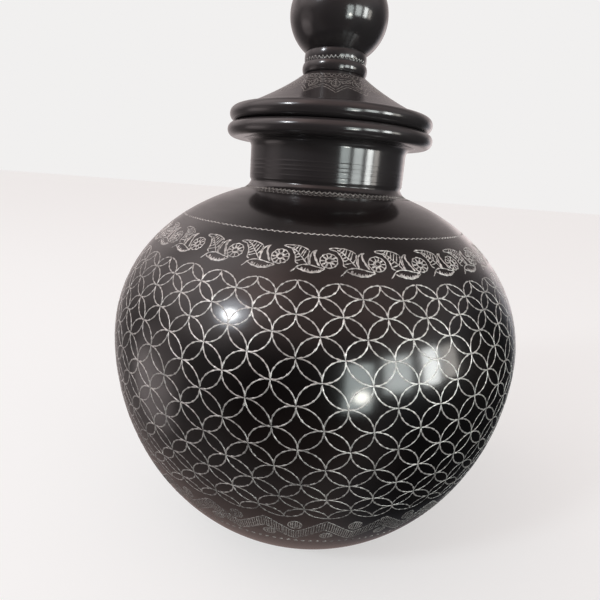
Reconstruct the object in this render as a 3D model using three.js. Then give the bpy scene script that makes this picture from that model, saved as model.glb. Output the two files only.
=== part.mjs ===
// Burnished black clay jar with a lift-off lid.
// Everything is turned on a wheel, so each piece is a solid of revolution about the vertical Z axis.
// Two fired pieces come apart: the jar (body, neck, rim) and the lid (seat ring, flange, dome, collar, knob).
// Each of those is made of separately thrown parts that are luted together with slip.
// Millimetres, +Z up, origin at the middle of the foot's flat face.

import * as THREE from "three";

// Jar body
const bellyRadius = 120; // widest circle
const bellyHeight = 116; // height of the widest circle above the foot
const footRadius = 56; // flat face that the jar rests on
const shoulderRise = 94.5; // how far the shoulder's full dome would rise above the widest circle
const shoulderFullness = 2.1; // superellipse exponent of the shoulder, 2 is an ellipse
const wall = 6.5; // body wall
const floorThickness = 8;

// Neck and rim
const neckRadius = 45;
const neckHeight = 26; // from the shoulder to the underside of the rim
const neckWall = 6.5;
const neckFlare = 4; // radius of the cove that runs out under the rim
const rimRadius = 58.7;
const rimThickness = 8;
const mouthBevel = 1; // eased inner edge of the rim

// Lid
const lidRimRadius = 57.8;
const lidRimThickness = 8.2;
const flangeWall = 5;
const flangeDepth = 12; // how far the flange reaches down into the mouth
const flangeClearance = 1.2; // radial play of the flange in the mouth
const ledgeWidth = 3; // flat step between the rolled edge and the dome
const domeRise = 19.5;
const domeWall = 5.5;

// Knob and its collar
const collarRadius = 18.3;
const collarHeight = 11.5;
const collarGroove = 1.6; // depth of the turned groove between the collar's two rings
const stemRadius = 17.4; // upper ring, where the knob grows out of the collar
const knobRadius = 27;
const knobHalfHeight = 23.5;

// Making
const seam = 0.3; // slip joint between luted parts, and the lid's rest gap on the rim
const turns = 48; // facets round the axis
const clay = { color: 0x1b1718, roughness: 0.28, metalness: 0 };

// Heights worked out from the sizes above
const lowerDepth = bellyHeight / Math.sqrt(1 - (footRadius / bellyRadius) ** 2);
const shoulderTop = bellyHeight + shoulderHeightAt(neckRadius, bellyRadius, shoulderRise);
const neckBase = shoulderTop + seam;
const neckTop = shoulderTop + neckHeight;
const rimBase = neckTop + seam;
const rimTop = rimBase + rimThickness;
const lidBase = rimTop + seam;
const lidRimTop = lidBase + lidRimThickness;
const domeBase = lidRimTop + seam;
const domeTop = domeBase + domeRise;
const collarBase = domeTop + seam;
const collarTop = collarBase + collarHeight;
const knobBase = collarTop + seam;

const mouthRadius = neckRadius - neckWall;
const flangeRadius = mouthRadius - flangeClearance;
const domeBaseRadius = lidRimRadius - lidRimThickness / 2 - ledgeWidth;
const domeHollowRadius = flangeRadius + seam;

// A point (r, z) on an ellipse about the jar's axis, centred at height z0.
function ellipsePoint(radius, halfHeight, z0, angle) {
  return new THREE.Vector2(radius * Math.cos(angle), z0 + halfHeight * Math.sin(angle));
}

// Height of the superelliptic shoulder above the widest circle, where its radius is r.
function shoulderHeightAt(r, radius, rise) {
  return rise * (1 - (r / radius) ** shoulderFullness) ** (1 / shoulderFullness);
}

// Points of the lower bowl from height z up to the widest circle.
function bowlPoints(radius, depth, z, steps) {
  const start = Math.asin((z - bellyHeight) / depth);
  return Array.from({ length: steps }, (_, i) =>
    ellipsePoint(radius, depth, bellyHeight, start * (1 - i / steps)),
  );
}

// Points of the shoulder from the widest circle up to radius endRadius, closer together near the top.
function shoulderPoints(radius, rise, endRadius, steps) {
  const end = Math.acos(endRadius / radius);
  return Array.from({ length: steps + 1 }, (_, i) => {
    const r = radius * Math.cos((end * i) / steps);
    return new THREE.Vector2(r, bellyHeight + shoulderHeightAt(r, radius, rise));
  });
}

// Points of an arc in the section, from angle a to angle b (degrees).
function arcPoints(r, z, radius, a, b, steps) {
  return Array.from({ length: steps + 1 }, (_, i) => {
    const angle = THREE.MathUtils.degToRad(a + ((b - a) * i) / steps);
    return new THREE.Vector2(r + radius * Math.cos(angle), z + radius * Math.sin(angle));
  });
}

// Half-round outer edge of a rolled ring, from its underside to its top.
function rolledEdge(outerRadius, base, thickness) {
  const bead = thickness / 2;
  return arcPoints(outerRadius - bead, base + bead, bead, -90, 90, 8);
}

// Turns a closed section, given as [r, z] pairs or Vector2 points, into a named piece.
function turned(name, section) {
  const points = section.map((p) => (p.isVector2 ? p : new THREE.Vector2(...p)));
  const onAxis = points[0].x === 0 && points[points.length - 1].x === 0;
  if (!onAxis) points.push(points[0].clone());
  const geometry = new THREE.LatheGeometry(points, turns);
  geometry.rotateX(Math.PI / 2);
  const piece = new THREE.Mesh(geometry, new THREE.MeshStandardMaterial(clay));
  piece.name = name;
  return piece;
}

// Round-bellied vessel: bowl, shoulder, a flat mouth edge for the neck, and the hollow inside.
function jarBody() {
  const innerRadius = bellyRadius - wall;
  const innerRise = shoulderRise - wall;
  const inside = [
    ...bowlPoints(innerRadius, lowerDepth - wall, floorThickness, 12),
    ...shoulderPoints(innerRadius, innerRise, mouthRadius, 12),
  ];
  return turned("jar_body", [
    [0, 0],
    ...bowlPoints(bellyRadius, lowerDepth, 0, 14),
    ...shoulderPoints(bellyRadius, shoulderRise, neckRadius, 14),
    [mouthRadius, shoulderTop],
    ...inside.reverse(),
    [0, floorThickness],
  ]);
}

// Straight neck ring that runs out in a cove under the rim.
function jarNeck() {
  return turned("jar_neck", [
    [mouthRadius, neckBase],
    [neckRadius, neckBase],
    ...arcPoints(neckRadius + neckFlare, neckTop - neckFlare, neckFlare, 180, 90, 4),
    [mouthRadius, neckTop],
  ]);
}

// Rolled rim: a flat ring with a half-round outer edge, its top is the lid's seat.
function jarRim() {
  return turned("jar_rim", [
    [mouthRadius, rimBase],
    ...rolledEdge(rimRadius, rimBase, rimThickness),
    [mouthRadius + mouthBevel, rimTop],
    [mouthRadius, rimTop - mouthBevel],
  ]);
}

// Rolled edge of the lid, a flat ring that rests on the rim.
function lidRim() {
  return turned("lid_rim", [
    [flangeRadius + seam, lidBase],
    ...rolledEdge(lidRimRadius, lidBase, lidRimThickness),
    [flangeRadius + seam, lidRimTop],
  ]);
}

// Ring luted into the lid's edge ring, it hangs in the mouth and keeps the lid centred.
function lidFlange() {
  const flangeBottom = lidBase - flangeDepth;
  return turned("lid_flange", [
    [flangeRadius - flangeWall, flangeBottom],
    [flangeRadius, flangeBottom],
    [flangeRadius, lidRimTop],
    [flangeRadius - flangeWall, lidRimTop],
  ]);
}

// Dome with a concave flank, hollow below.
function lidDome() {
  const flank = new THREE.QuadraticBezierCurve(
    new THREE.Vector2(domeBaseRadius, domeBase),
    new THREE.Vector2((domeBaseRadius + stemRadius) * 0.43, domeBase + domeRise * 0.5),
    new THREE.Vector2(stemRadius, domeTop),
  );
  const hollow = new THREE.QuadraticBezierCurve(
    new THREE.Vector2(domeHollowRadius, domeBase),
    new THREE.Vector2(stemRadius, domeBase + domeRise * 0.35),
    new THREE.Vector2(0, domeTop - domeWall),
  );
  return turned("lid_dome", [...flank.getPoints(9), [0, domeTop], ...hollow.getPoints(7).reverse()]);
}

// Two turned rings with a groove between them, between the dome and the knob.
function knobCollar() {
  const bead = collarHeight * 0.24;
  const grooveHeight = collarBase + bead * 2.2;
  return turned("knob_collar", [
    [0, collarBase],
    ...arcPoints(collarRadius - bead, collarBase + bead, bead, -90, 60, 6),
    [stemRadius - collarGroove, grooveHeight],
    [stemRadius, grooveHeight + collarGroove],
    [stemRadius, collarTop],
    [0, collarTop],
  ]);
}

// Ball knob, a little flatter than a sphere, cut flat where it stands on the collar.
function knob() {
  const start = -Math.acos(stemRadius / knobRadius);
  const centre = knobBase - knobHalfHeight * Math.sin(start);
  const steps = 12;
  const ball = Array.from({ length: steps }, (_, i) =>
    ellipsePoint(knobRadius, knobHalfHeight, centre, start + ((Math.PI / 2 - start) * i) / steps),
  );
  return turned("knob", [[0, knobBase], ...ball, [0, centre + knobHalfHeight]]);
}

const jar = new THREE.Group();
jar.add(jarBody(), jarNeck(), jarRim());

const lid = new THREE.Group();
lid.add(lidRim(), lidFlange(), lidDome(), knobCollar(), knob());

const lidJar = new THREE.Group();
lidJar.add(jar, lid);

export default lidJar;
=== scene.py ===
import math

import bpy
import numpy as np
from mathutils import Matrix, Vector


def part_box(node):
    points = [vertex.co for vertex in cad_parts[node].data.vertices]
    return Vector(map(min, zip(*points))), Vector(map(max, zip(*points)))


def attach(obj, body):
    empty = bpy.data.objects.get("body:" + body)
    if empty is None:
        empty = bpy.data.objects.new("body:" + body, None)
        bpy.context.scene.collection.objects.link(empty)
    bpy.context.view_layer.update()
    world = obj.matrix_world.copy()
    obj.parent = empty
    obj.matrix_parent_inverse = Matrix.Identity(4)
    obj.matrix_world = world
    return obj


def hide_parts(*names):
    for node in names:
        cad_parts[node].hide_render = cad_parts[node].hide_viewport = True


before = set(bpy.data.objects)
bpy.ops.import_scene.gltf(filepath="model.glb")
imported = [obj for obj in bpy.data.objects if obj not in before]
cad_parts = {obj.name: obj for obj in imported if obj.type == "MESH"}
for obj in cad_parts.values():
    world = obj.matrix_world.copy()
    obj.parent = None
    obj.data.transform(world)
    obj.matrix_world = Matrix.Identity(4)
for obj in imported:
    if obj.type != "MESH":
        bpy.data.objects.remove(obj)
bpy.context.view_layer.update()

# ------------------------------------------------------------------ jar body
# A round belly thrown on the wheel from fine black-firing clay, a little out of true as hand work is.
# Outside it is slipped and rubbed with a smooth stone until it shines, then smoke-fired black.
# Inside it stays as the fingers left it: matte, with shallow throwing rings.

MM = 0.001  # every size below is in millimetres
TURN = 2 * math.pi

body_high = np.array(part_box("jar_body")[1]) / MM
belly_radius = body_high[0]
shoulder_top = body_high[2]  # where the neck is luted on
belly_height = 116.0  # height of the widest circle
foot_radius = 56.0  # flat face it stands on
shoulder_rise = 94.5  # how far the full shoulder would rise above the widest circle
shoulder_fullness = 2.1  # exponent of the shoulder's curve, 2 is an ellipse
wall = 6.5
floor_thickness = 8.0
neck_radius = 45.0
mouth_radius = 38.5
foot_polish = 0.35  # the flat foot is only wiped smooth
lower_depth = belly_height / math.sqrt(1 - (foot_radius / belly_radius) ** 2)


def lower_radius(z):
    """Outside radius of the bowl at height z: an ellipse, widest at the belly."""
    return belly_radius * np.sqrt(1 - ((z - belly_height) / lower_depth) ** 2)


def shoulder_height(r):
    """Height of the shoulder at radius r: a superellipse that is a little fuller than an ellipse."""
    share = 1 - (r / belly_radius) ** shoulder_fullness
    return belly_height + shoulder_rise * share ** (1 / shoulder_fullness)


def length_along(outline):
    """Length walked along an outline of points up to each of them: the sum of its straight steps."""
    return np.concatenate([[0], np.cumsum(np.hypot(*np.diff(outline, axis=0).T))])


def even(outline, step):
    """The same outline of (r, z) points, walked again in equal steps of about the given length."""
    outline = np.asarray(outline, float)
    walked = length_along(outline)
    places = np.linspace(0, walked[-1], max(2, round(walked[-1] / step) + 1))
    return np.stack([np.interp(places, walked, outline[:, k]) for k in (0, 1)], axis=1)


def eased(corners):
    """Straight runs between corners (r, z, ease): each corner is cut by a parabola of five points
    that leaves the run `ease` before the corner and joins the next run `ease` after it."""
    corners = np.asarray(corners, float)
    t = np.linspace(0, 1, 5)[:, None]
    parts = [corners[:1, :2]]
    for before, here, after in zip(corners, corners[1:], corners[2:]):
        point, ease = here[:2], here[2]
        start = point + ease * unit(before[:2] - point)
        end = point + ease * unit(after[:2] - point)
        parts.append((1 - t) ** 2 * start + 2 * t * (1 - t) * point + t**2 * end)
    return np.concatenate([*parts, corners[-1:, :2]])


def unit(vectors):
    """Vectors divided by their own length."""
    return vectors / np.maximum(np.linalg.norm(vectors, axis=-1, keepdims=True), 1e-12)


def by_hand(points, phase=0.0):
    """Pulls points slightly out of true: the radius grows by a few low waves round the axis that
    drift with height, and by a hair of turning ripple. That comes to 0.36 mm at most on the belly,
    and in proportion nearer the axis."""
    x, y, z = points[..., 0], points[..., 1], points[..., 2]
    turn = np.arctan2(y, x) + phase
    waves = 0.20 * np.sin(2 * turn + z / 95) + 0.10 * np.sin(3 * turn + 1.9 - z / 60)
    waves = waves + 0.05 * np.sin(5 * turn + z / 23) + 0.006 * np.sin(z / 1.3 + 2 * np.sin(2 * turn))
    grow = 1 + waves / belly_radius
    return np.stack([x * grow, y * grow, z], axis=-1)


def new_mesh(name, points, faces):
    """A smooth-shaded mesh object at the origin from points in millimetres and lists of faces."""
    mesh = bpy.data.meshes.new(name)
    mesh.from_pydata((points.reshape(-1, 3) * MM).tolist(), [], faces)
    mesh.polygons.foreach_set("use_smooth", np.ones(len(mesh.polygons), bool))
    mesh.update()
    piece = bpy.data.objects.new(name, mesh)
    bpy.context.scene.collection.objects.link(piece)
    return piece


def turned(name, outline, polish, around, phase=0.0):
    """An outline of (r, z) points turned about the axis: x = r cos a, y = r sin a.
    It runs with the material on its left, and starts and ends on the axis or closes on itself.
    The share of burnish at each outline point goes with it as the attribute "polish"."""
    outline, polish = np.asarray(outline, float), np.broadcast_to(polish, len(outline))
    poles = outline[0, 0] < 1e-6
    rings = outline[1:-1] if poles else outline
    angle = np.arange(around) * TURN / around
    r, z = rings[:, :1], rings[:, 1:]
    points = np.stack([r * np.cos(angle), r * np.sin(angle), z + 0 * angle], axis=-1)
    points = by_hand(points, phase).reshape(-1, 3)
    ring = np.arange(len(rings) * around).reshape(len(rings), around)
    low, high = (ring[:-1], ring[1:]) if poles else (ring, np.roll(ring, -1, axis=0))
    beside = np.stack([low, np.roll(low, -1, axis=1), np.roll(high, -1, axis=1), high], axis=-1)
    faces = beside.reshape(-1, 4).tolist()
    share = np.repeat(polish[1:-1] if poles else polish, around)
    if poles:
        first, last = len(points), len(points) + 1
        ends = np.array([[0, 0, outline[0, 1]], [0, 0, outline[-1, 1]]])
        points = np.concatenate([points, ends])
        share = np.append(share, [polish[0], polish[-1]])
        under = np.stack([0 * ring[0] + first, np.roll(ring[0], -1), ring[0]], axis=1)
        over = np.stack([0 * ring[-1] + last, ring[-1], np.roll(ring[-1], -1)], axis=1)
        faces += under.tolist() + over.tolist()
    piece = new_mesh(name, points, faces)
    piece.data.attributes.new("polish", "FLOAT", "POINT").data.foreach_set("value", share)
    return piece


def throwing_rings(outline, depth=0.25, pitch=5.5):
    """Shallow finger marks: the outline's radius is rippled by a sine of its length, which fades
    out over the last 20 mm to the axis."""
    ripple = depth * np.sin(TURN * length_along(outline) / pitch) * np.clip(outline[:, 0] / 20, 0, 1)
    return outline + np.stack([ripple, 0 * ripple], axis=1)


class Sock:
    """One output socket of a node: + - * between sockets and numbers add Math nodes."""

    def __init__(self, tree, socket=None):
        self.tree, self.socket = tree, socket

    def node(self, kind, settings=None, inputs=None, output=0):
        """Adds a node: settings first, then its input values or links; gives the output socket."""
        made = self.tree.nodes.new(kind)
        for key, value in (settings or {}).items():
            setattr(made, key, value)
        for key, value in (inputs or {}).items():
            if isinstance(value, Sock):
                self.tree.links.new(value.socket, made.inputs[key])
            else:
                made.inputs[key].default_value = value
        return Sock(self.tree, made.outputs[output]) if len(made.outputs) else made

    def maths(self, operation, first, second):
        return self.node("ShaderNodeMath", {"operation": operation}, {0: first, 1: second})

    def __add__(self, other):
        return self.maths("ADD", self, other)

    def __mul__(self, other):
        return self.maths("MULTIPLY", self, other)

    def __rsub__(self, other):
        return self.maths("SUBTRACT", other, self)

    __radd__, __rmul__ = __add__, __mul__

    def ramp(self, low, high):
        """0 below low, 1 above high and smooth between."""
        settings = {"interpolation_type": "SMOOTHSTEP", "clamp": True}
        return self.node("ShaderNodeMapRange", settings, {"Value": self, 1: low, 2: high})

    def blend(self, first, second):
        """A colour between two colours, by this value."""
        return self.node(
            "ShaderNodeMix", {"data_type": "RGBA"}, {0: self, 6: first, 7: second}, output=2
        )


def new_material(name):
    """An empty node material, and the starting point for its nodes."""
    material = bpy.data.materials.new(name)
    material.use_nodes = True
    material.node_tree.nodes.clear()
    return material, Sock(material.node_tree)


def noise(start, place, scale, detail, squash=(1, 1, 1)):
    """Fractal noise in object space, squashed along chosen axes; scale is in waves per metre."""
    spot = start.node("ShaderNodeMapping", None, {"Vector": place, "Scale": squash})
    return start.node("ShaderNodeTexNoise", None, {"Vector": spot, "Scale": scale, "Detail": detail})


def clay_material():
    """Burnished clay where "polish" is 1 and raw clay where it is 0. Smoke clouds tint it, and the
    stone leaves a thin sharp shine over a hazy one, with level streaks. On the neck and lid, above
    0.19 to 0.22 m, the burnished colour is painted a shade greyer, a painted sheen for the brighter
    reflections there. Raw clay shows its grain."""
    material, start = new_material("burnished_clay")
    place = start.node("ShaderNodeTexCoord", output="Object")
    polish = start.node("ShaderNodeAttribute", {"attribute_name": "polish"}, output="Fac")
    clouds = noise(start, place, 16, 4).ramp(0.35, 0.68)
    streaks = noise(start, place, 42, 5, (1, 1, 9))
    grain = noise(start, place, 1400, 2)
    height = start.node("ShaderNodeSeparateXYZ", None, {0: place}, output="Z")
    burnish_and_painted_sheen = clouds.blend((0.0021, 0.0018, 0.0019, 1), (0.0056, 0.0040, 0.0037, 1))
    # painted sheen: above 0.19 to 0.22 m the burnished colour turns greyer, standing in for the brighter
    # reflections on the neck and lid
    burnish_and_painted_sheen = height.ramp(0.19, 0.22).blend(burnish_and_painted_sheen, (0.0220, 0.0195, 0.0205, 1))
    raw = clouds.blend((0.024, 0.021, 0.020, 1), (0.034, 0.030, 0.028, 1))
    colour = polish.blend(raw, burnish_and_painted_sheen)
    burnished = 0.30 + 0.06 * clouds + 0.16 * streaks
    roughness = polish * burnished + (1 - polish) * (0.66 + 0.12 * streaks)
    relief = polish * streaks * 0.10 + (1 - polish) * (grain + streaks * 0.5)
    bump = start.node("ShaderNodeBump", None, {"Strength": 0.35, "Distance": 0.0004, "Height": relief})
    shader = start.node(
        "ShaderNodeBsdfPrincipled",
        None,
        {
            "Base Color": colour,
            "Roughness": roughness,
            "Normal": bump,
            "IOR": 1.16,
            "Coat Weight": polish * (1.1 - 0.3 * streaks),
            "Coat Roughness": 0.14,
            "Coat IOR": 1.5,
        },
    )
    start.node("ShaderNodeOutputMaterial", None, {"Surface": shader})
    return material


t = np.linspace(0, 1, 90)
bowl = np.stack([lower_radius(belly_height * t), belly_height * t], axis=1)[1:]
shoulder_r = belly_radius * np.cos(t * math.acos((neck_radius - 2) / belly_radius))
shoulder = np.stack([shoulder_r, shoulder_height(shoulder_r)], axis=1)
skin = np.concatenate([bowl, shoulder[1:]])
inner = skin[::-1] * (belly_radius - wall) / belly_radius
inner = inner + [0, belly_height * wall / belly_radius]
inner = inner[(inner[:, 0] > mouth_radius) & (inner[:, 1] > floor_thickness)]
lip = [[mouth_radius, shoulder_top], [mouth_radius, inner[0, 1]]]
inner = throwing_rings(even(inner, 1.6))
floor_inside = np.array([[inner[-1, 0] - 2, floor_thickness + 0.4], [0, floor_thickness]])
foot_edge = eased([[0, 0, 0], [foot_radius - 0.5, 0, 1.5], [*skin[2], 0]])
outside = np.concatenate([even(foot_edge, 1.2), even(skin[3:], 1.5)])
outline = np.concatenate([outside, lip, inner, even(floor_inside, 2)])
jar_polish = np.concatenate([np.ones(len(outside)), np.zeros(len(outline) - len(outside))])
jar_polish[outline[:, 1] < 0.05] = foot_polish
clay = clay_material()
belly = turned("belly", outline, jar_polish, 236)
belly.data.materials.append(clay)
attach(belly, "jar")
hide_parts("jar_body")

# ------------------------------------------------------------------ neck
# A straight ring of the same clay, luted to the shoulder with slip and smoothed into it by a cove.
# It runs out again under the rim, and is undercut by a hair above the cove, below some turning lines.

neck_flare = 4.0  # radius of the cove under the rim
cove_height = 3.4
cove_reach = 3.2
undercut = 0.7
undercut_rise = 1.9  # height over which the undercut runs out
joint_depth = 0.8  # how far the neck is pressed into the rim
bore_polish = 0.4  # inside it is only smoothed
line_width, line_depth = 0.35, 0.07  # of the raised turning lines
neck_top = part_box("jar_neck")[1].z / MM

t = np.linspace(0, 1, 14)[:, None]
cove_foot = np.array([neck_radius + cove_reach, shoulder_height(neck_radius + cove_reach)])
cove_corner = np.array([neck_radius + 0.5, shoulder_height(neck_radius) + 0.4])
cove_top = np.array([neck_radius - undercut, shoulder_top + cove_height])
cove = (1 - t) ** 2 * cove_foot + 2 * t * (1 - t) * cove_corner + t**2 * cove_top
straight = even([[neck_radius, cove_top[1] + 0.3], [neck_radius, neck_top - neck_flare - 0.4]], 0.3)
lines_at = shoulder_top + np.array([7.2, 10.1, 12.0, 14.4])  # heights of the turning lines
ridges = np.exp(-(((straight[:, 1:] - lines_at) / line_width) ** 2)).sum(axis=1)
risen = np.clip((straight[:, 1] - cove_top[1]) / undercut_rise, 0, 1)
straight[:, 0] += line_depth * ridges - undercut * (1 - risen**2 * (3 - 2 * risen))
angle = np.linspace(math.pi, math.pi / 2, 10)
flare_centre = np.array([neck_radius + neck_flare, neck_top - neck_flare])
flare = flare_centre + neck_flare * np.stack([np.cos(angle), np.sin(angle)], axis=1)
buried = [[mouth_radius, shoulder_top - 3], [neck_radius + 3, shoulder_top - 3.5]]
joint = neck_top + joint_depth
bore = throwing_rings(even([[mouth_radius, joint], [mouth_radius, shoulder_top - 2]], 0.8), 0.1)
outside = np.concatenate([buried, cove - [0, 0.05], straight, flare, [[neck_radius + 6, joint]]])
outline = np.concatenate([outside, bore])
neck_polish = np.append(np.ones(len(outside)), np.full(len(bore), bore_polish))
neck = turned("neck", outline, neck_polish, 192)
neck.data.materials.append(clay)
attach(neck, "jar")
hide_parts("jar_neck")

# ------------------------------------------------------------------ rim
# A ring of the same clay with a rolled half-round edge, luted on top of the neck and burnished.
# Its flat top carries the lid, and its inner edge is eased, where hands and ladles go in.


def rolled_ring(inside_radius, low, high, bead, bottom_ease=0.8, top_ease=0.8):
    """Section of a flat ring with a half-round outer edge: half an oval that reaches out by `bead`,
    from under the edge to its top, then flat to the eased inner corners."""
    outer, base, top = high[0], low[2], high[2]
    mid = (base + top) / 2
    angle = np.linspace(-math.pi / 2, math.pi / 2, 28)
    reach = np.stack([bead * np.cos(angle), (top - base) / 2 * np.sin(angle)], axis=1)
    arc = [outer - bead, mid] + reach
    corners = [[outer - bead, top, 0], [inside_radius, top, top_ease], [inside_radius, mid, 0]]
    back = [[inside_radius, mid, 0], [inside_radius, base, bottom_ease], [outer - bead, base, 0]]
    return np.concatenate([arc, even(eased(corners), 0.7)[1:], even(eased(back), 0.7)[1:-1]])


rim_low, rim_high = (np.array(corner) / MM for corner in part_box("jar_rim"))
rim_bead = 4.0
inner_polish = 0.5  # the inner edge is rubbed less
outline = rolled_ring(mouth_radius, rim_low, rim_high, rim_bead, top_ease=1.4)
rim = turned("rim", outline, np.where(outline[:, 0] < mouth_radius + 1, inner_polish, 1.0), 256)
rim.data.materials.append(clay)
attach(rim, "jar")
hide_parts("jar_rim")

# ------------------------------------------------------------------ engraving: circle net
# All the pattern is scratched through the burnished skin with a point, and the scratches are rubbed
# full of silvery powder, so each line is a thin bead that stands a hair proud. Here thirty-six circles
# go round the belly in each of fourteen rows, and each overlaps its neighbours in four petals.

random = np.random.default_rng(7)


def follow(outline, origin, phase=0.0):
    """The function that finds points and outward normals on a turned surface, from the azimuth in
    degrees (0 in front, positive to +X) and the length along the outline, counted from height
    `origin`: straight interpolation on the outline, then a turn about the axis."""
    walked = length_along(outline)
    walked -= np.interp(origin, outline[:, 1], walked)
    slope = unit(np.gradient(outline, walked, axis=0))

    def place(azimuth, length):
        turn = np.radians(azimuth - 90)
        r, z, slope_r, slope_z = (
            np.interp(length, walked, column) for column in (*outline.T, *slope.T)
        )
        point = np.stack([r * np.cos(turn), r * np.sin(turn), z], axis=-1)
        normal = np.stack([slope_z * np.cos(turn), slope_z * np.sin(turn), -slope_r], axis=-1)
        return by_hand(point, phase), normal

    return place


def beads(surface, paths, width, lift=0.07, taper=0.6, wander=0.30):
    """Lines of filler along paths (line, step, (azimuth, length)) on a surface. The section is a
    flat triangle: two feet sunk in the clay, spread wider than the line looks, and a crown above
    them. It swells with two sines of the length walked, the tool's chatter, and closes at both ends
    as a quarter circle does, over the length `taper`."""
    spread, sunk = 1.6, 0.05
    middle, normal = surface(paths[..., 0], paths[..., 1])
    ahead = unit(np.gradient(middle, axis=1))
    side = unit(np.cross(ahead, normal))
    steps = np.linalg.norm(np.diff(middle, axis=1), axis=-1)
    walked = np.concatenate([0 * steps[:, :1], np.cumsum(steps, axis=1)], axis=1)
    whole = walked[:, -1:]
    closing = np.clip(np.minimum(walked, whole - walked) / np.minimum(taper, whole / 2), 0, 1)
    ends = 0.12 + 0.88 * np.sqrt(1 - (1 - closing) ** 2)
    start = random.uniform(0, TURN, (len(paths), 1))
    chatter = 0.5 * np.sin(TURN * walked / 2.1 + start) + np.sin(TURN * walked / 3.3 + 2 * start)
    swell = 1 + wander * chatter
    half = (width / 2 * ends * swell * spread)[..., None]
    crown = (lift * (0.55 + 0.45 * ends) * (1 + 0.25 * chatter))[..., None]
    feet = sunk * normal
    ring = [middle + half * side - feet, middle + crown * normal, middle - half * side - feet]
    return np.stack(ring, axis=2)


def line_work(name, rings, body, filler):
    """One piece from a list of bead arrays (line, step, corner, xyz): quads along each line and a
    triangle at each end. The hidden foot faces are flat, so the crown keeps its own shading."""
    points, faces, smooth = [], [], []
    count = 0
    for ring in rings:
        lines, steps = ring.shape[:2]
        index = count + np.arange(lines * steps * 3).reshape(lines, steps, 3)
        after = np.roll(index, -1, axis=2)
        quads = np.stack([index[:, :-1], index[:, 1:], after[:, 1:], after[:, :-1]], axis=-1)
        caps = np.concatenate([index[:, 0], index[:, -1, ::-1]])
        points.append(ring.reshape(-1, 3))
        faces += quads.reshape(-1, 4).tolist() + caps.tolist()
        smooth += [*np.tile([True, True, False], lines * (steps - 1)), *[False] * len(caps)]
        count += ring.size // 3
    piece = new_mesh(name, np.concatenate(points), faces)
    piece.data.polygons.foreach_set("use_smooth", np.array(smooth))
    piece.data.materials.append(filler)
    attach(piece, body)
    return piece


def filler_material(name, thick, thin):
    """Dull silvery filler: pale where the powder is thick, greyer and rougher where it is rubbed,
    and greyer and rougher again low on the bowl, a painted shade for the dimmer light on the lower lines."""
    material, start = new_material(name)
    place = start.node("ShaderNodeTexCoord", output="Object")
    rubbed = noise(start, place, 55, 4).ramp(0.38, 0.72)
    specks = noise(start, place, 900, 2).ramp(0.40, 0.66)
    height = start.node("ShaderNodeSeparateXYZ", None, {0: place}, output="Z")
    # rubbed patches and specks are wear; the greying below 0.04 to 0.14 m is painted shade
    wear_and_painted_shade = rubbed * 0.4 + specks * 0.4 + (1 - height.ramp(0.04, 0.14)) * 0.36
    colour = wear_and_painted_shade.blend(thick, thin)
    roughness = 0.36 + 0.25 * wear_and_painted_shade
    shader = start.node(
        "ShaderNodeBsdfPrincipled",
        None,
        {"Base Color": colour, "Roughness": roughness, "Metallic": 0.6},
    )
    start.node("ShaderNodeOutputMaterial", None, {"Surface": shader})
    return material


silver = filler_material("silver_filler", (0.68, 0.68, 0.66, 1), (0.11, 0.11, 0.107, 1))
# Darker filler for the neck chain and the lid scroll: rubbed filler on the lid, and on the neck chain a
# painted shade for the rim's shadow over the cove.
rubbed_silver_and_painted_shade = filler_material("rubbed_and_painted_shade_filler", (0.34, 0.33, 0.31, 1), (0.13, 0.125, 0.12, 1))
jar_skin = follow(skin, belly_height)

net_rows = 14
net_columns = 36
net_middle = 3.0  # length along the skin from the widest circle up to the net's middle
net_reach = 55.9  # and from there to its first and last rows
crowding = 0.12  # how much closer the outer rows stand
net_start = 1.96  # degrees
row = np.arange(net_rows)[:, None]
level = row / (net_rows - 1) * 2 - 1
row_length = net_middle - net_reach * (level - crowding * level**3) / (1 - crowding)
drift = (row - 6) / 6
lean = 0.0523 * drift + 0.0052 * drift**2  # radians that the drawing hand crept round, row by row
pinch = 0.0365 * drift + 0.0076 * drift**2  # and that it squeezed one side and stretched the other
turn = (np.arange(net_columns) + 0.5 * (row % 2)) * TURN / net_columns - math.radians(net_start)
turn = turn + lean
turn = turn + pinch * np.sin(turn)
nodes = np.stack([np.degrees(turn), row_length + 0 * turn], axis=-1)
shake = [0.11, 0.20]  # degrees round and millimetres up
nodes += random.normal(0, 1, nodes.shape) * shake


def around_row(k, shift):
    """The nodes of row k, counted on by `shift` places, with whole turns added at the wrap."""
    order = np.arange(net_columns) + shift
    return nodes[k, order % net_columns] + np.stack([order // net_columns * 360.0, 0 * order], axis=1)


def quarter(centre, side, end):
    """Quarters of ellipses about centres, from `side` to `end`: side cos a + end sin a, less what
    that adds to the centre. Each runs a little short or over, and is a little too flat or full."""
    first, last = random.normal(0, 0.02, (2, len(centre), 1, 1))
    angle = first + (math.pi / 2 - first + last) * np.linspace(0, 1, 20)[:, None]
    bulge = 1 + random.normal(0, 0.012, (len(centre), 1, 1)) * np.sin(2 * angle)
    wave = side[:, None] * np.cos(angle) + end[:, None] * np.sin(angle)
    weight = 1 - np.cos(angle) - np.sin(angle)
    return (wave + centre[:, None] * weight) * bulge + centre[:, None] * (1 - bulge)


net_lines = []
for k in range(net_rows):
    left, right = around_row(k, 0), around_row(k, 1)
    centre = (left + right) / 2
    arcs = []
    if k > 0:
        above = around_row(k - 1, k % 2)
        arcs += [quarter(centre, left, above), quarter(centre, right, above)]
    if k < net_rows - 1:
        below = around_row(k + 1, k % 2)
        arcs += [quarter(centre, left, below), quarter(centre, right, below)]
    net_lines.append(beads(jar_skin, np.concatenate(arcs), 0.56))
for k in range(0, net_rows, 2):
    line_work(f"circle_net_{k // 2 + 1}", net_lines[k : k + 2], "jar", silver)

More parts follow.
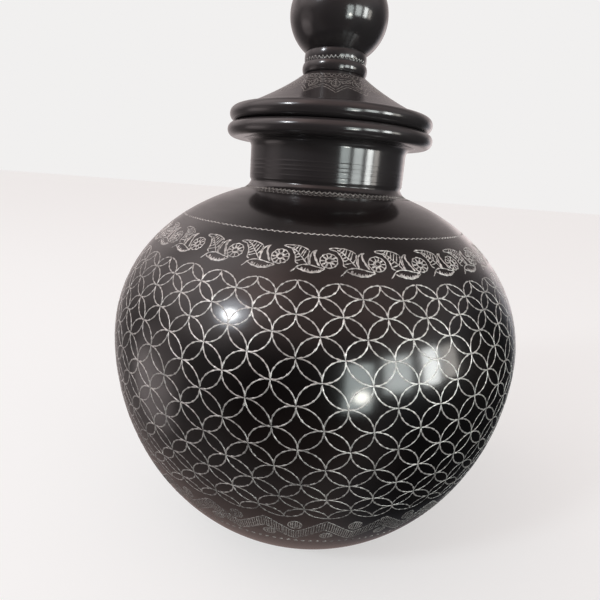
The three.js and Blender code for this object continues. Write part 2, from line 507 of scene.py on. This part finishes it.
# ------------------------------------------------------------------ engraving: leaf and flower band
# Twenty-eight sprigs run round the shoulder, each a hatched leaf, a small leaf, an eye-shaped leaf
# below and a round flower, scratched freehand one after another and filled like the net. Strokes are
# drawn in the sprig's own millimetres, from the middle of its flower.

sprigs = 28
sprig_height = 178.1  # of the flowers' middles
first_flower = 2.63  # degrees
past_start = 1.02  # a closed line runs on past its own start, to this many turns


def curve(points, count):
    """A smooth line through given points: cubic pieces whose slope at each point is the
    chord between its neighbours."""
    points = np.asarray(points, float)
    walked = length_along(points)
    slope = np.gradient(points, walked, axis=0)
    place = np.linspace(0, walked[-1], count)
    i = np.clip(np.searchsorted(walked, place, side="right") - 1, 0, len(points) - 2)
    gap = (walked[i + 1] - walked[i])[:, None]
    u = (place - walked[i])[:, None] / gap
    start, end = points[i], points[i + 1]
    ease = u * u * (3 - 2 * u)
    bend = gap * u * (1 - u) * ((1 - u) * slope[i] - u * slope[i + 1])
    return start + (end - start) * ease + bend


def between(edge, middle, share_edge, share_middle, rise):
    """A hatch stroke from a share of the way along one line to a share of the way along another,
    its middle lifted by `rise`."""
    a = edge[int(share_edge * (len(edge) - 1))]
    b = middle[int(share_middle * (len(middle) - 1))]
    return curve([a, (a + b) / 2 + [0, rise], b], 6)


def oval(half_width, half_height, count):
    """A closed oval, width cos a and height sin a, drawn a little past its start."""
    angle = np.linspace(0, TURN * past_start, count)
    return np.stack([half_width * np.cos(angle), half_height * np.sin(angle)], axis=1)


leaf_tip = (-21, 6.3)
leaf_foot = (-8.9, 4.7)
small_tip = (-5.6, 5.7)
eye_end = (-1.6, -4.4)
leaf_top = curve(
    [leaf_tip, (-20.3, 6.9), (-17.6, 7.3), (-14.4, 7.3), (-11.8, 6.6), (-9.8, 5.6), leaf_foot], 24
)
leaf_left = curve(
    [leaf_tip, (-19.2, 5.9), (-17.6, 5.4), (-16.3, 3.9), (-15.4, 2.2), (-14.8, 0.8), (-14.7, -0.9),
     (-14.4, -2.1), (-13.1, -2.8)], 30
)
leaf_rib = curve(
    [(-17.5, 6.1), (-14.9, 4.6), (-13.2, 2.6), (-11.8, 1.0), (-10.4, -0.8), (-9.2, -2.6)], 24
)
leaf_right = curve([leaf_foot, (-9.2, 3.0), (-9.3, 1.2), (-9.0, -0.7), (-8.6, -2.7)], 16)
small_left = curve([(-8.2, -2.7), (-8.4, -0.5), (-8.4, 1.6), (-8.0, 3.6), (-7.0, 4.9), small_tip], 18)
small_right = curve([(-4.0, -3.2), (-5.0, -1.3), (-6.0, 1.0), (-6.6, 2.9), (-6.5, 4.3), small_tip], 18)
eye_top = curve(
    [(-15.7, -7.1), (-14.5, -5.6), (-13.2, -3.9), (-11.5, -3.0), (-8.2, -2.8), (-4.7, -3.7), eye_end], 24
)
eye_under = curve(
    [(-13.6, -4.6), (-13.0, -5.1), (-11.1, -6.0), (-7.9, -6.8), (-4.7, -6.4), (-2.9, -5.4), eye_end], 24
)
stem = curve([(-2.6, -2.8), (-2.1, -3.7), eye_end], 5)
outlines = [leaf_top, leaf_left, leaf_rib, leaf_right, small_left, small_right]
outlines += [small_right + [0.38, 0.05], eye_top, eye_under, eye_under[3:21] + [0, 0.35], stem]
petals = 10
flower_radius = 3.7
petal_swell = 0.22
edge_angle = np.linspace(0, TURN * past_start, 60)
lobed = flower_radius + petal_swell * np.abs(np.sin(edge_angle * petals / 2))
flower = [np.stack([lobed * np.cos(edge_angle), lobed * np.sin(edge_angle)], axis=1)]
flower += [oval(1.25, 1.2, 14), oval(1.65, 1.6, 14)]
along = np.linspace(1.5, flower_radius + 0.05, 5)
spokes = []
for k in range(petals):
    a = TURN * k / petals
    spokes.append(np.stack([along * math.cos(a), along * math.sin(a)], axis=1))
hatches = [between(leaf_left, leaf_rib, e, m, -0.1) for e, m in
           [(0.42, 0.20), (0.53, 0.33), (0.63, 0.46), (0.73, 0.60), (0.84, 0.76)]]
hatches += [between(leaf_top, leaf_rib, e, m, 0.2) for e, m in
            [(0.48, 0.12), (0.58, 0.26), (0.68, 0.40), (0.79, 0.54), (0.88, 0.68)]]
hatches.append(between(leaf_right, leaf_rib, 0.35, 0.82, 0.1))
for k in range(10):
    foot = eye_under[4 + int(1.7 * k)]
    hatches.append(curve([foot, foot + [0.15, 0.9], foot + [0.3, 1.8 - 0.05 * k]], 4))
widths = [(outlines, 0.54), (flower, 0.52), (spokes, 0.62), (hatches, 0.48)]
tilt = random.normal(0, 0.035, sprigs)
size = 1 + random.normal(0, 0.02, sprigs)
lifted = random.normal(0, 0.25, sprigs)
sprig_reach = np.interp(sprig_height, skin[:, 1], skin[:, 0])
walked_skin = length_along(skin)
walked_skin -= np.interp(belly_height, skin[:, 1], walked_skin)


def length_at(z):
    """Length along the jar's outline, from the widest circle up to height z."""
    return np.interp(z, skin[:, 1], walked_skin)


def on_sprigs(stroke):
    """A stroke in a sprig's own millimetres, put on all sprigs: sheared by their tilt, scaled by
    their size, lifted and shaken, and crowded a little where the hand ran short of room."""
    x, y = stroke[None, :, 0] * size[:, None], stroke[None, :, 1] * size[:, None]
    wobble = random.normal(0, 0.10, (sprigs, 1, 2))
    across = x - y * tilt[:, None] + wobble[..., 0]
    up = y + (x + 9) * tilt[:, None] + lifted[:, None] + wobble[..., 1]
    azimuth = first_flower + 360 * ((np.arange(sprigs)[:, None] + 10) % sprigs - 10) / sprigs
    crowded = np.exp(-(((azimuth + 42) / 14) ** 2))
    azimuth = azimuth - 2.0 * crowded
    return np.stack([azimuth + np.degrees(across / sprig_reach), length_at(sprig_height) + up], axis=-1)


rings = [beads(jar_skin, on_sprigs(stroke), width, 0.06, 0.4)
         for strokes, width in widths for stroke in strokes]
line_work("leaf_flower_band", rings, "jar", silver)

# ------------------------------------------------------------------ engraving: shoulder line and neck chain
# One scratched and filled line wavers round the shoulder above the sprigs, and a chain of small teeth
# either side of a base line sits round the foot of the neck in its cove. The chain's filler is painted
# darker, a painted shade for the rim's shadow over the cove.

line_height = 187.4
line_waves = 183
chain_waves = 110


def ring_line(length, waves, swing, parts, steps):
    """A line right round the piece at one length, in equal parts that meet: a zigzag of `waves`
    teeth and half height `swing`."""
    azimuth = np.linspace(0, 360, parts * steps + 1)
    tooth = np.abs((azimuth * waves / 360) % 1 * 2 - 1) * 2 - 1
    drift = 0.15 * np.sin(np.radians(azimuth * 3)) + 0.12 * np.sin(np.radians(azimuth * 7 + 40))
    path = np.stack([azimuth, length + swing * tooth + drift], axis=1)
    starts = np.arange(parts)[:, None] * steps + np.arange(steps + 1)
    return path[starts]


line = ring_line(length_at(line_height), line_waves, 0.45, 24, 46)
line_work("shoulder_line", [beads(jar_skin, line, 0.46, 0.06, 0.01)], "jar", silver)

foot_outline = np.concatenate([skin[(skin[:, 0] < 62) & (skin[:, 0] > cove_foot[0] + 0.5)], cove])
neck_foot = follow(foot_outline, cove_foot[1])
teeth = [ring_line(side, chain_waves, 0.75, 22, 30) for side in (-1.6, 1.6)]
rings = [beads(neck_foot, path, 0.55, 0.05, 0.01) for path in teeth]
rings.append(beads(neck_foot, ring_line(0, 1, 0, 22, 12), 0.40, 0.04, 0.01))
line_work("neck_chain", rings, "jar", rubbed_silver_and_painted_shade)

# ------------------------------------------------------------------ engraving: hatched zigzag and dots
# Below the net a ribbon of upright scratches zigzags round the bowl, with a hatched disc in every
# bend above and below it, and a row of dabs under it all. They are filled like the net.
# Lengths here are counted down the skin from the widest circle.

periods = 24
first_peak = 7.1  # degrees
band_reach = 105.0  # radius of the bowl at the band
ribbon_top, ribbon_valley, ribbon_thick = -55.5, -67.0, 8.4
bars = 24  # in each period
bar_lean = 0.10472  # degrees round, from a bar's top to its foot
upper_disc, lower_disc, dab_row = -60.3, -70.2, -79.0


def zigzag_edge(azimuth, drop=0.0):
    """Length of the ribbon's upper edge at an azimuth, `drop` lower: a triangle wave with its
    corners a little rounded by a cosine."""
    share = np.abs((azimuth - first_peak) / 360 * periods % 1 * 2 - 1)
    share = 0.8 * share + 0.2 * (0.5 - 0.5 * np.cos(math.pi * share))
    return ribbon_valley + (ribbon_top - ribbon_valley) * share - drop


azimuth = first_peak + np.arange(periods)[:, None] * 360 / periods + np.linspace(0, 360 / periods, 45)
edges = [np.stack([azimuth, zigzag_edge(azimuth, drop)], axis=-1) for drop in (0.0, ribbon_thick)]
rings = [beads(jar_skin, edge, 0.54, 0.06, 0.01) for edge in edges]
bar_azimuth = first_peak + (np.arange(periods * bars)[:, None] + 0.5) * 360 / periods / bars
bar_azimuth = bar_azimuth + random.normal(0, 0.05, bar_azimuth.shape)
share = np.linspace(0, 1, 8)
bar_drop = zigzag_edge(bar_azimuth) - ribbon_thick * share
bar = np.stack([bar_azimuth + bar_lean * share, bar_drop], axis=-1)
rings.append(beads(jar_skin, bar, 0.50, 0.05, 0.3))


def hatched_disc(x, y, half_width, half_height):
    """A small oval with five upright strokes inside it, each as tall as the oval is there."""
    lines = [oval(half_width, half_height, 20)]
    for place in np.linspace(-0.68, 0.68, 5):
        tall = half_height * math.sqrt(1 - place**2)
        lines.append(np.stack([np.full(7, place * half_width), np.linspace(-tall, tall, 7)], axis=1))
    return [line + [x, y] for line in lines]


upper = hatched_disc(math.radians(180 / periods) * band_reach, upper_disc, 3.1, 3.6)
lower = hatched_disc(1.4, lower_disc, 3.0, 3.0)
peaks = first_peak + np.arange(periods)[:, None] * 360 / periods
for stroke in upper + lower:
    wobble = random.normal(0, 0.15, (periods, 1, 2))
    across = np.degrees((stroke[:, 0] + wobble[..., 0]) / band_reach)
    path = np.stack([peaks + across, stroke[:, 1] + wobble[..., 1]], axis=-1)
    rings.append(beads(jar_skin, path, 0.54, 0.05, 0.3))
dots = 176
dot_azimuth = np.arange(dots)[:, None] * 360 / dots
up = np.linspace(-1.0, 1.0, 7)
dab = np.stack([dot_azimuth + 0 * up, dab_row + up + random.normal(0, 0.12, (dots, 1))], axis=-1)
rings.append(beads(jar_skin, dab, 1.6, 0.09, 1.0, 0.05))
line_work("zigzag_band", rings, "jar", silver)

# ------------------------------------------------------------------ lid edge
# A flat ring of the same clay with a rolled edge, burnished all over. It rests on the jar's rim.
# It is thrown apart from the lid's other parts, and all of them are luted into one lid.

lid_phase = 1.3  # the lid is out of round in its own way
seat_low, seat_high = (np.array(corner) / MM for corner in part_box("lid_rim"))
flange_low, flange_high = (np.array(corner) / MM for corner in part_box("lid_flange"))
flange_radius = flange_high[0]
edge_bead = 4.1

outline = rolled_ring(flange_radius - 0.5, seat_low, seat_high, edge_bead)
lid_edge = turned("lid_edge", outline, 1.0, 256, lid_phase)
lid_edge.data.materials.append(clay)
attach(lid_edge, "lid")
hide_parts("lid_rim")

# ------------------------------------------------------------------ flange
# A short ring of half-burnished clay luted under the lid's edge. It hangs in the jar's mouth with a
# little play, and keeps the lid centred.

flange_wall = 5.0
hole = flange_radius - flange_wall
corners = [
    [hole, flange_high[2], 0],
    [hole, flange_low[2], 1.2],
    [flange_radius, flange_low[2], 1.2],
    [flange_radius, flange_high[2], 0],
]
outline = even(eased(corners), 0.6)
flange = turned("flange", outline, 0.5, 192, lid_phase)
flange.data.materials.append(clay)
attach(flange, "lid")
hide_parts("lid_flange")

# ------------------------------------------------------------------ dome
# A thrown dome of the same clay with hollow flanks, luted on the lid's edge. Outside it is burnished,
# a little less than the jar, and below it is left raw with finger rings.

dome_low, dome_high = (np.array(corner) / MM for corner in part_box("lid_dome"))
stem_radius = 17.4
dome_wall = 5.5
dome_burnish = 0.8
root_depth = 0.6  # how far the dome is pressed into the edge ring
hollow_fullness = 6.8

t = np.linspace(0, 1, 44)[:, None]
dome_edge = np.array([dome_high[0], dome_low[2]])
dome_crown = np.array([stem_radius, dome_high[2]])
flank_pull = np.array([(dome_edge[0] + stem_radius) * 0.43, (dome_edge[1] + dome_crown[1]) / 2])
flank = (1 - t) ** 2 * dome_edge + 2 * t * (1 - t) * flank_pull + t**2 * dome_crown
root = dome_low[2] - root_depth
hollow_edge = np.array([flange_radius + 0.3, root])
hollow_pull = np.array([stem_radius, dome_low[2] + hollow_fullness])
hollow_top = np.array([0, dome_high[2] - dome_wall])
hollow = (1 - t) ** 2 * hollow_edge + 2 * t * (1 - t) * hollow_pull + t**2 * hollow_top
outline = np.concatenate([
    throwing_rings(hollow, 0.15, 4.0)[:0:-1],
    [hollow_edge, [dome_edge[0] + 0.2, root]],
    flank,
    [[stem_radius - 0.6, dome_high[2] + 0.4], [0, dome_high[2] + 0.4]],
])
dome_polish = np.append(np.zeros(len(hollow)), np.full(len(outline) - len(hollow), dome_burnish))
dome = turned("dome", outline, dome_polish, 224, lid_phase)
dome.data.materials.append(clay)
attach(dome, "lid")
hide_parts("lid_dome")

# ------------------------------------------------------------------ knob collar
# A turned and burnished collar luted on the dome: a lower and an upper bead, each a flat oval, with a
# groove cut between them on the wheel.

collar_low, collar_high = (np.array(corner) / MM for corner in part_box("knob_collar"))
collar_groove = 1.6
lower_reach, lower_half = 1.3, 2.9  # how far the lower bead swells out, and half its height
upper_reach, upper_half = 0.7, (collar_high[2] - collar_low[2]) / 2 - lower_half

lower_middle = np.array([collar_high[0] - lower_reach, collar_low[2] + lower_half])
upper_middle = np.array([stem_radius - upper_reach, collar_high[2] - upper_half])
groove = np.array([stem_radius - collar_groove / 2, collar_low[2] + 2 * lower_half])
angle = np.linspace(-math.pi / 2, math.radians(60), 20)
lower_oval = np.stack([lower_reach * np.cos(angle), lower_half * np.sin(angle)], axis=1)
lower_bead = lower_middle + lower_oval
angle = np.linspace(math.radians(-40), math.radians(65), 16)
upper_oval = np.stack([upper_reach * np.cos(angle), upper_half * np.sin(angle)], axis=1)
upper_bead = upper_middle + upper_oval
groove_line = eased([[*lower_bead[-1], 0], [*groove, 0.5], [*upper_bead[0], 0]])
outline = np.concatenate([
    [[0, collar_low[2] - 0.5], [lower_bead[0, 0] - 1, collar_low[2] - 0.5]],
    lower_bead,
    groove_line[1:-1],
    upper_bead,
    [[upper_bead[-1, 0] - 0.5, collar_high[2] + 0.6], [0, collar_high[2] + 0.6]],
])
collar = turned("collar", outline, 1.0, 160, lid_phase)
collar.data.materials.append(clay)
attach(collar, "lid")
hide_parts("knob_collar")

# ------------------------------------------------------------------ ball knob
# A solid ball of the same clay, a little flatter than round, luted on the collar and burnished all
# over. The lid is lifted by it.

knob_low, knob_high = (np.array(corner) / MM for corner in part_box("knob"))
ball_radius = knob_high[0]
ball_half = 23.5  # half its height, were it whole

stem_angle = -math.acos(stem_radius / ball_radius)
ball_middle = knob_high[2] - ball_half
angle = np.linspace(stem_angle, math.pi / 2, 72)
ball = np.stack([ball_radius * np.cos(angle), ball_middle + ball_half * np.sin(angle)], axis=1)
ball[-1, 0] = 0
outline = np.concatenate([[[0, knob_low[2] - 0.5], [ball[0, 0] - 0.8, knob_low[2] - 0.5]], ball])
knob = turned("ball_knob", outline, 1.0, 192, lid_phase)
knob.data.materials.append(clay)
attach(knob, "lid")
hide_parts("knob")

# ------------------------------------------------------------------ engraving: lid
# Sixteen pointed leaves hang from the collar down the dome, with a curl on either side of each and a
# toothed border above them, scratched, filled and rubbed nearly flat. A brighter zigzag is scratched
# round the collar. Strokes are drawn in shares of a leaf's width and millimetres up the dome.

lobes = 16
first_lobe = 2.0  # degrees
lid_skin = follow(flank, dome_edge[1], lid_phase)


def mirrored(stroke):
    """The stroke and its mirror image about the leaf's own middle line."""
    return [stroke, stroke * [-1, 1]]


strokes = mirrored(curve([(-0.50, 19.6), (-0.36, 18.2), (-0.17, 15.0), (0, 10.8)], 14))
strokes += mirrored(curve([(-0.50, 22.6), (-0.33, 20.9), (-0.14, 17.6), (0, 14.6)], 14))
strokes += mirrored(curve([(0, 18.2), (-0.15, 21.3), (-0.20, 24.4), (-0.12, 27.3), (0, 29.6)], 14))
strokes.append(curve([(0, 18.2), (0, 24), (0, 29.6)], 8))
for k in range(3):
    strokes += mirrored(curve([(0, 20.4 + 2.4 * k), (-0.08, 21.6 + 2.4 * k), (-0.15, 22.3 + 2.2 * k)], 5))
angle = np.linspace(0, 2.6 * math.pi, 18)
coil = 1.9 - 0.16 * angle  # millimetres from its middle, and a tenth of that in leaf widths
curl = np.stack([-0.36 + coil / 10 * np.cos(angle), 25.8 + coil * np.sin(angle)], axis=1)
strokes += mirrored(curl)
strokes += mirrored(curve([(-0.50, 29.9), (-0.33, 28.8), (-0.16, 29.6), (0, 30.8)], 8))
rings = []
for stroke in strokes:
    wobble = random.normal(0, 1, (lobes, 1, 2)) * [0.25, 0.15]
    across = (np.arange(lobes)[:, None] + stroke[:, 0]) * 360 / lobes
    path = np.stack([first_lobe + across, stroke[:, 1] + 0 * across], axis=-1) + wobble
    rings.append(beads(lid_skin, path, 0.50, 0.05, 0.3))
border = [ring_line(31.8, 1, 0, 16, 14), ring_line(35.6, 1, 0, 16, 14), ring_line(33.7, 48, 1.5, 16, 24)]
rings += [beads(lid_skin, path, 0.42, 0.04, 0.01) for path in border]
line_work("lid_scroll", rings, "lid", rubbed_silver_and_painted_shade)

collar_outline = np.concatenate([lower_bead[-4:-1], groove_line, upper_bead[1:9]])
collar_skin = follow(collar_outline, groove[1], lid_phase)
scratch = ring_line(0.9, 46, 0.75, 23, 16)
line_work("collar_scratches", [beads(collar_skin, scratch, 0.45, 0.06, 0.01)], "lid", silver)

# ------------------------------------------------------------------ floor, light and camera
# A plain pale floor and backdrop. The room glows softly from above and from both sides. Four panes of
# a window and a small warm lamp stand at the right front, and a round lamp hangs at the left front.

floor_mesh = bpy.data.meshes.new("floor")
floor_mesh.from_pydata([(-8, -8, 0), (8, -8, 0), (8, 8, 0), (-8, 8, 0)], [], [(0, 1, 2, 3)])
floor = bpy.data.objects.new("floor", floor_mesh)
bpy.context.scene.collection.objects.link(floor)
floor_paint, start = new_material("floor_paint")
shader = start.node(
    "ShaderNodeBsdfPrincipled",
    None,
    {
        "Base Color": (0.40, 0.43, 0.43, 1),
        "Roughness": 1.0,
        "Specular IOR Level": 0.0,
        "Emission Color": (1.0, 0.99, 0.985, 1),
        "Emission Strength": 0.56,
    },
)
start.node("ShaderNodeOutputMaterial", None, {"Surface": shader})
floor_mesh.materials.append(floor_paint)
floor.visible_glossy = False
floor.visible_diffuse = False
unlit = bpy.data.collections.new("not lit by the low panes")
unlit.objects.link(floor)
unlit.collection_objects[0].light_linking.link_state = "EXCLUDE"

world = bpy.data.worlds.new("studio")
bpy.context.scene.world = world
world.use_nodes = True
world.node_tree.nodes.clear()
start = Sock(world.node_tree)
ray = start.node("ShaderNodeTexCoord", output="Generated")


def towards(direction, low, high):
    """0 to 1 as the ray turns towards a direction: the cosine between them, ramped."""
    aim = tuple(unit(np.array(direction, float)))
    product = {"operation": "DOT_PRODUCT"}
    cosine = start.node("ShaderNodeVectorMath", product, {0: ray, 1: aim}, output="Value")
    return cosine.ramp(low, high)


ceiling = towards((-0.15, -0.45, 1), 0.60, 0.97) * 0.52
left_glow = towards((-0.8, -0.3, 0.72), 0.75, 0.98) * 1.15 + towards((-1, -0.1, -0.2), 0.92, 0.99) * 0.50
left_glow = left_glow + towards((-0.85, 0.40, 0.60), 0.80, 0.99) * 0.55
left_glow = left_glow + towards((-0.90, 0.05, -0.43), 0.95, 0.99) * 0.70
right_glow = towards((0.75, -0.3, 0.6), 0.75, 0.97) * 0.40
back_wall = towards((0, 1, 0.2), 0.45, 0.90) * 0.35 + towards((0.55, 0.85, -0.05), 0.94, 0.99) * 0.7
right_shade = towards((0.86, 0.1, -0.45), 0.50, 0.88)
front_shade = towards((-0.12, -1, -0.35), 0.70, 0.95)
table_glow = towards((0, 0.35, -1), 0.55, 0.95)
glow = 0.20 + 0.07 * table_glow + ceiling + left_glow + right_glow + back_wall
glow = glow * (1 - 0.95 * right_shade) * (1 - 0.85 * front_shade)
tint = front_shade.blend((1, 0.88, 0.87, 1), (1, 0.76, 0.70, 1))
tint = towards((0.1, -1, 1.0), 0.50, 0.95).blend(tint, (1, 0.73, 0.68, 1))
tint = table_glow.blend(tint, (1, 0.76, 0.71, 1))
tint = right_shade.blend(tint, (0.85, 0.92, 1.05, 1))
studio = start.node("ShaderNodeBackground", None, {"Color": tint, "Strength": glow})
backdrop = start.node("ShaderNodeBackground", None, {"Color": (0.88, 0.87, 0.865, 1)})
seen = start.node("ShaderNodeLightPath", output="Is Camera Ray")
mixed = start.node("ShaderNodeMixShader", None, {0: seen, 1: studio, 2: backdrop})
start.node("ShaderNodeOutputWorld", None, {"Surface": mixed})


light_distance = 2.0
light_aim = Vector((0, 0, 0.16))


def soft_box(name, azimuth, elevation, width, height, radiance, colour, shape="RECTANGLE"):
    """A glowing panel that faces the jar from a direction (degrees round from the front, and up).
    A low one would burn a bright patch into the floor beside it, so it lights the jar only."""
    light = bpy.data.lights.new(name, "AREA")
    light.shape, light.size, light.size_y, light.color = shape, width, height, colour
    light.energy = radiance * math.pi * width * height
    lamp = bpy.data.objects.new(name, light)
    a, e = math.radians(azimuth), math.radians(elevation)
    away = Vector((math.sin(a) * math.cos(e), -math.cos(a) * math.cos(e), math.sin(e)))
    lamp.location = light_aim + away * light_distance
    lamp.rotation_euler = away.to_track_quat("Z", "Y").to_euler()
    lamp.visible_camera = False
    if elevation < 10:
        lamp.light_linking.receiver_collection = unlit
    bpy.context.scene.collection.objects.link(lamp)


soft_box("window_left", 24, -5, 0.46, 1.10, 8.0, (0.90, 1.0, 0.98))
soft_box("warm_lamp", 25.5, -11, 0.25, 0.25, 24.0, (1.0, 0.97, 0.88), shape="ELLIPSE")
soft_box("window_middle", 43, 2, 0.48, 0.80, 10.5, (0.93, 1.0, 0.98))
soft_box("window_right", 61, 3, 0.32, 0.74, 21.0, (0.97, 1.0, 0.98))
soft_box("window_far", 72, 3, 0.30, 0.62, 6.0, (1.0, 0.95, 0.88))
soft_box("lamp_shade", -48.5, 30.5, 0.64, 0.64, 4.0, (0.80, 0.89, 1.0), shape="ELLIPSE")
soft_box("lamp", -49, 29.5, 0.26, 0.26, 42.0, (0.97, 0.99, 1.0), shape="ELLIPSE")

camera_data = bpy.data.cameras.new("camera")
camera_data.lens, camera_data.sensor_width, camera_data.clip_start = 26.9, 36, 0.01
camera = bpy.data.objects.new("camera", camera_data)
yaw, pitch, roll = -0.0357, -0.2603, 0.0740
ahead = Vector((math.sin(yaw) * math.cos(pitch), math.cos(yaw) * math.cos(pitch), math.sin(pitch)))
level = Vector((math.cos(yaw), -math.sin(yaw), 0))
over = level.cross(ahead)
right = level * math.cos(roll) + over * math.sin(roll)
above = over * math.cos(roll) - level * math.sin(roll)
camera.matrix_world = Matrix((right, above, -ahead)).transposed().to_4x4()
camera.location = (0, -0.2791, 0.2097)
bpy.context.scene.collection.objects.link(camera)
bpy.context.scene.camera = camera
bpy.context.scene.view_settings.view_transform = "Standard"
